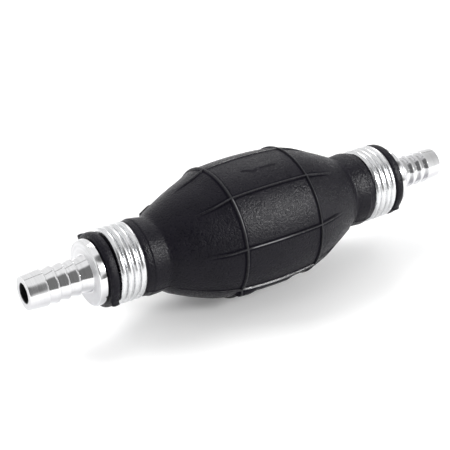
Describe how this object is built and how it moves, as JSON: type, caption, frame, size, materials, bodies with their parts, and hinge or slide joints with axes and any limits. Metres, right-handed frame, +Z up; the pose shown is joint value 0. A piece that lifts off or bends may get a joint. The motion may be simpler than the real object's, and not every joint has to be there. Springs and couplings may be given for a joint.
{
  "type": "siphon bulb pump",
  "caption": "Hand primer bulb of ribbed black rubber with an aluminium hose barb, a wire clamp and a spring check valve at each end.",
  "frame": {"origin": "under the middle of the bulb, on the surface that the pump lies on", "axes": "+X along the pump's axis from the outlet to the inlet, +Z up from the surface, so the flow arrow is near the top and points to -X"},
  "size_m": [0.1496, 0.0414, 0.0417],
  "materials": {
    "bulb_rubber": "satin black moulded rubber",
    "turned_aluminium": "bright turned",
    "clamp_wire": "bright zinc plated steel wire",
    "valve_plastic": "natural acetal",
    "spring_steel": "bare stainless",
    "seal_rubber": "matt nitrile"
  },
  "bodies": {
    "pump_body": {"bulb_shell": "bulb_rubber", "outlet_fitting": "turned_aluminium", "outlet_clamp_coil": "clamp_wire", "outlet_neck_seal": "seal_rubber", "outlet_retaining_ring": "spring_steel", "outlet_valve_seat": "valve_plastic", "outlet_seat_seal": "seal_rubber", "outlet_valve_spring": "spring_steel", "outlet_spring_cage": "valve_plastic", "inlet_fitting": "turned_aluminium", "inlet_clamp_coil": "clamp_wire", "inlet_neck_seal": "seal_rubber", "inlet_retaining_ring": "spring_steel", "inlet_valve_seat": "valve_plastic", "inlet_seat_seal": "seal_rubber", "inlet_valve_spring": "spring_steel", "inlet_spring_cage": "valve_plastic"},
    "outlet_valve": {"outlet_poppet": "valve_plastic", "outlet_poppet_seal": "seal_rubber"},
    "inlet_valve": {"inlet_poppet": "valve_plastic", "inlet_poppet_seal": "seal_rubber"}
  },
  "joints": [
    {"name": "outlet_valve_slide", "type": "slide", "parent": "pump_body", "child": "outlet_valve", "axis": [-1, 0, 0], "range_m": [0, 0.0022], "stiffness_N_per_m": 30, "springref_m": -0.001, "deforming": ["outlet_valve_spring"]},
    {"name": "inlet_valve_slide", "type": "slide", "parent": "pump_body", "child": "inlet_valve", "axis": [-1, 0, 0], "range_m": [0, 0.0022], "stiffness_N_per_m": 30, "springref_m": -0.001, "deforming": ["inlet_valve_spring"]}
  ]
}
